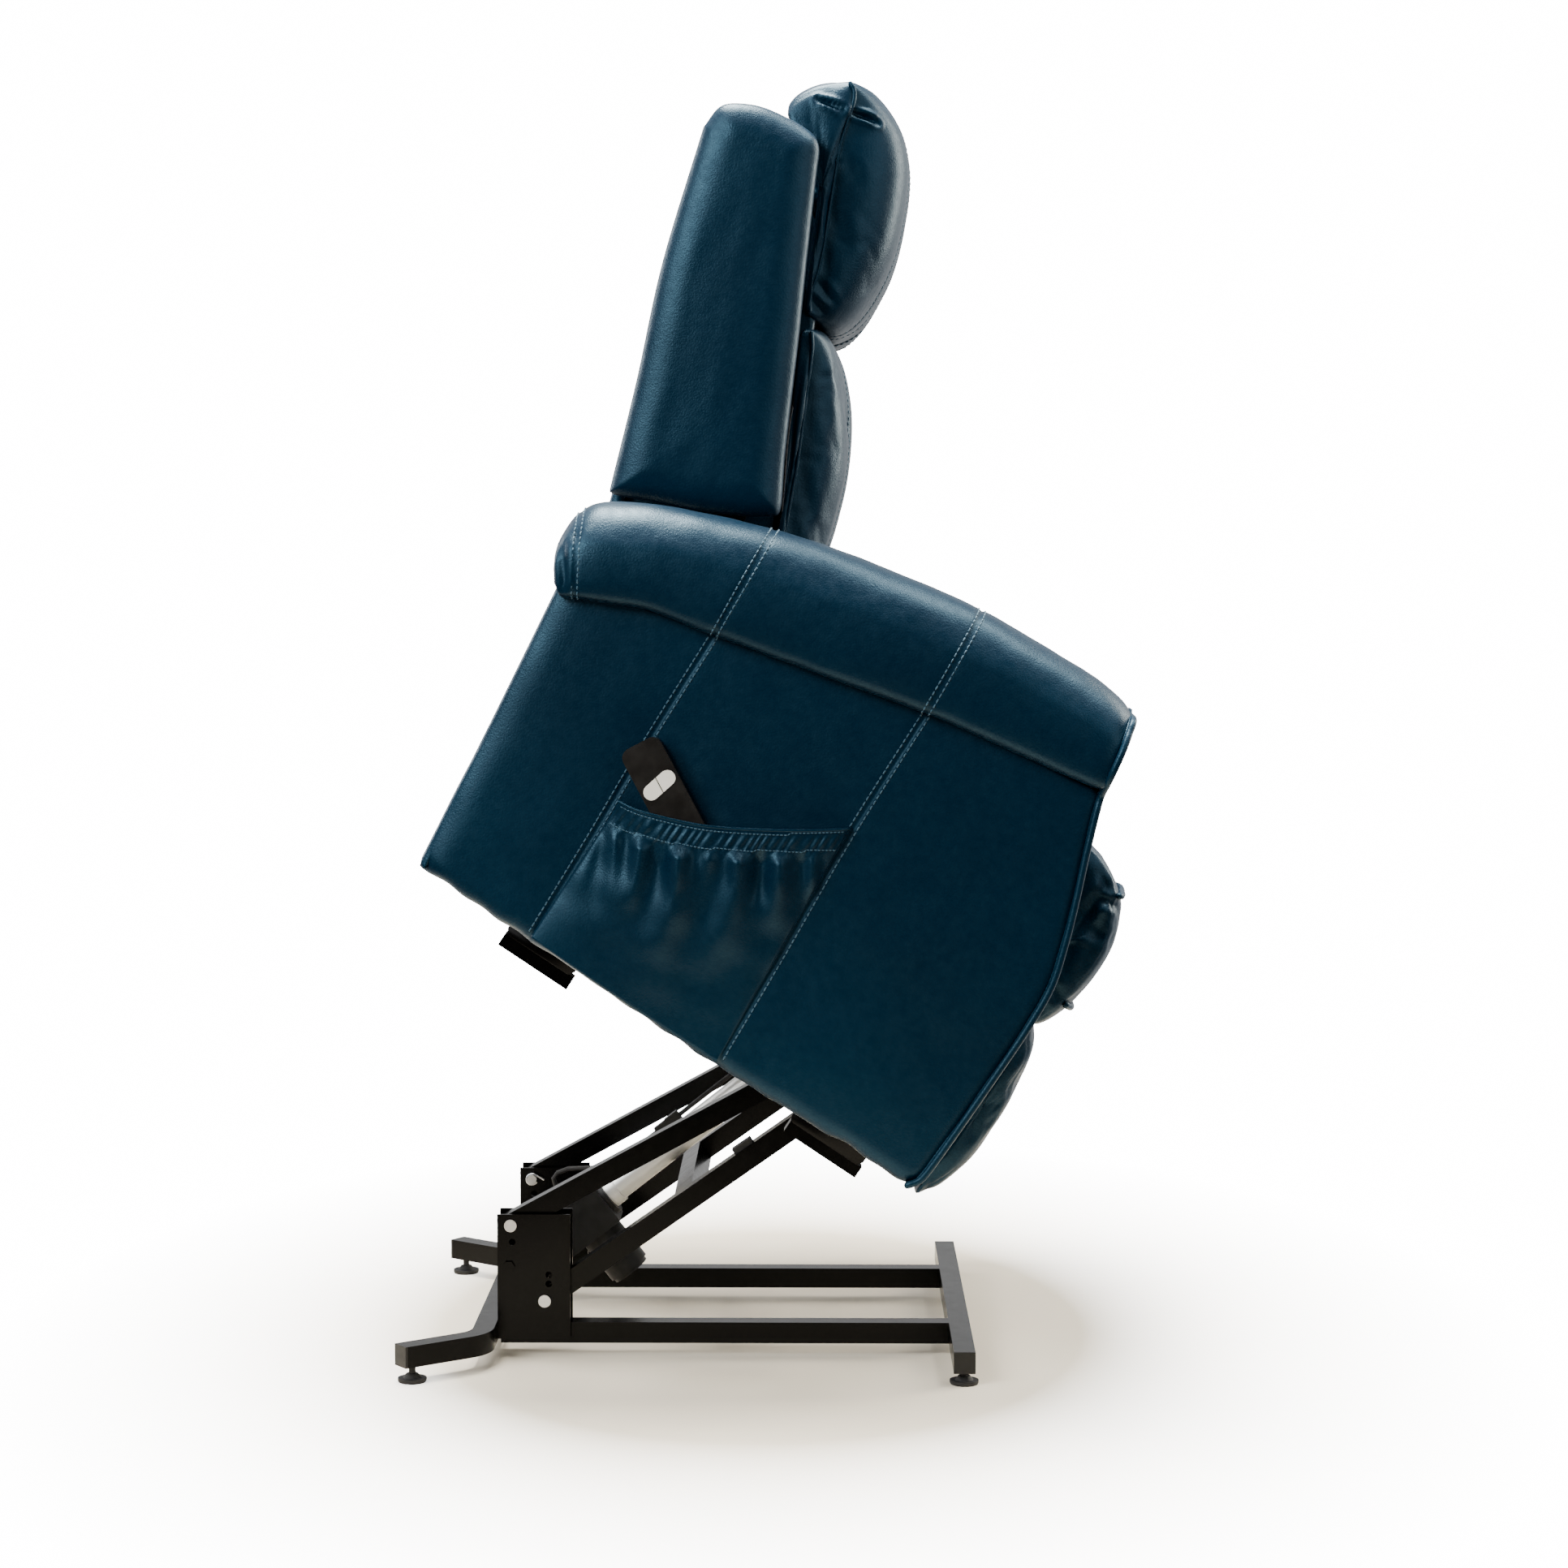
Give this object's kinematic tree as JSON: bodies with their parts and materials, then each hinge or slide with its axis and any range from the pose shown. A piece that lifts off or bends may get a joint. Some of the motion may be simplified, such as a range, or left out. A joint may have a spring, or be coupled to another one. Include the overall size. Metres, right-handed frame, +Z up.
{
  "type": "lift recliner chair",
  "caption": "Leather lift recliner on a raised tube frame: linked lift arms, linear actuator, reclining back, folding legrest and side pocket with handset.",
  "frame": {"origin": "bottom centre of the whole chair's box with the lift mechanism fully raised, on the floor", "axes": "+X to the chair's front, +Y to the sitter's left, +Z up"},
  "size_m": [0.8495, 0.864, 1.5206],
  "materials": {
    "blue_leather": "satin grained leather",
    "black_steel": "satin black powder coat",
    "zinc_steel": "bright zinc plate",
    "aluminium_tube": "satin anodised",
    "black_plastic": "fine matt moulding",
    "ivory_plastic": "smooth keys",
    "black_rubber": "dull rubber",
    "frame_wood": "bare plywood"
  },
  "bodies": {
    "base": {"front_crossbar": "black_steel", "base_rails": "black_steel", "rear_cross_tube": "black_steel", "rear_legs": "black_steel", "tube_end_caps": "black_plastic", "foot_glides": "black_rubber", "pivot_brackets": "black_steel", "base_pivot_pins": "zinc_steel", "hairpin_clips": "zinc_steel", "stop_bolts": "black_steel", "actuator_mount": "black_steel"},
    "upper_links": {"upper_links": "black_steel", "upper_link_bushes": "zinc_steel"},
    "lower_links": {"lower_links": "black_steel", "lower_link_crossbar": "black_steel", "lower_link_bushes": "zinc_steel", "link_bumpers": "black_rubber"},
    "actuator": {"actuator_gearbox": "black_plastic", "actuator_motor": "black_plastic", "actuator_tube": "aluminium_tube", "actuator_spindle": "zinc_steel", "actuator_lead": "black_rubber", "lead_connector": "black_plastic"},
    "actuator_rod": {"actuator_rod": "zinc_steel", "rod_pin": "zinc_steel"},
    "chair": {"lift_frame": "black_steel", "link_hangers": "black_steel", "frame_pins": "zinc_steel", "actuator_clevis": "black_steel", "skids": "black_steel", "seat_frame": "frame_wood", "seat_springs": "zinc_steel", "seat_cushion": "blue_leather", "knee_roll": "blue_leather", "arm_frames": "frame_wood", "arm_outer_panels": "blue_leather", "arm_inner_panels": "blue_leather", "arm_end_panels": "blue_leather", "arm_roll_right": "blue_leather", "arm_roll_left": "blue_leather", "rear_lower_panel": "blue_leather", "side_pocket": "blue_leather", "handset_back": "black_plastic", "handset_front": "black_plastic", "power_supply": "black_plastic", "side_brackets": "black_steel"},
    "handset_up_button": {"handset_up_button": "ivory_plastic"},
    "handset_down_button": {"handset_down_button": "ivory_plastic"},
    "legrest_rear_links": {"legrest_rear_links": "black_steel"},
    "legrest_front_links": {"legrest_front_links": "black_steel"},
    "legrest": {"legrest_board": "frame_wood", "legrest_pad": "blue_leather"},
    "backrest": {"back_core": "blue_leather", "back_shell": "blue_leather", "back_posts": "frame_wood", "wing_right": "blue_leather", "wing_left": "blue_leather", "lumbar_cushion": "blue_leather", "headrest_pillow": "blue_leather"}
  },
  "joints": [
    {"name": "lift", "type": "hinge", "parent": "base", "child": "lower_links", "pos_m": [-0.26, 0, 0.068], "axis": [0, 1, 0], "range_deg": [0, 36.6]},
    {"name": "chair_tilt", "type": "hinge", "parent": "lower_links", "child": "chair", "pos_m": [0.06766, 0, 0.29743], "axis": [0, -1, 0], "range_deg": [0, 70.32]},
    {"name": "upper_link_swing", "type": "hinge", "parent": "base", "child": "upper_links", "pos_m": [-0.301, 0, 0.16], "axis": [0, 1, 0], "range_deg": [0, 37.73]},
    {"name": "actuator_swing", "type": "hinge", "parent": "base", "child": "actuator", "pos_m": [-0.285, 0, 0.095], "axis": [0, 1, 0], "range_deg": [0, 27.77]},
    {"name": "rod_retract", "type": "slide", "parent": "actuator", "child": "actuator_rod", "axis": [-0.788, 0, -0.6157], "range_m": [0, 0.09284]},
    {"name": "back_recline", "type": "hinge", "parent": "chair", "child": "backrest", "pos_m": [-0.11481, 0, 0.77151], "axis": [0, -1, 0], "range_deg": [0, 38]},
    {"name": "legrest_extend", "type": "hinge", "parent": "chair", "child": "legrest_rear_links", "pos_m": [0.16664, 0, 0.42754], "axis": [0, -1, 0], "range_deg": [0, 96.8]},
    {"name": "legrest_unfold", "type": "hinge", "parent": "legrest_rear_links", "child": "legrest_front_links", "pos_m": [0.0896, 0, 0.29887], "axis": [0, 1, 0], "range_deg": [0, 129.7]},
    {"name": "legrest_tip", "type": "hinge", "parent": "legrest_front_links", "child": "legrest", "pos_m": [0.24762, 0, 0.36152], "axis": [0, -1, 0], "range_deg": [0, 112.9]},
    {"name": "up_button_press", "type": "slide", "parent": "chair", "child": "handset_up_button", "axis": [0, 1, 0], "range_m": [0, 0.0012], "stiffness_N_per_m": 900},
    {"name": "down_button_press", "type": "slide", "parent": "chair", "child": "handset_down_button", "axis": [0, 1, 0], "range_m": [0, 0.0012], "stiffness_N_per_m": 900}
  ],
  "couplings": [
    {"joint": "chair_tilt", "follows": "lift", "ratio": 1.9208},
    {"joint": "upper_link_swing", "follows": "lift", "ratio": 1.0304},
    {"joint": "actuator_swing", "follows": "lift", "ratio": 0.75823},
    {"joint": "rod_retract", "follows": "lift", "m_per_rad": 0.14518},
    {"joint": "legrest_unfold", "follows": "legrest_extend", "ratio": 1.3388},
    {"joint": "legrest_tip", "follows": "legrest_extend", "ratio": 1.1653}
  ]
}
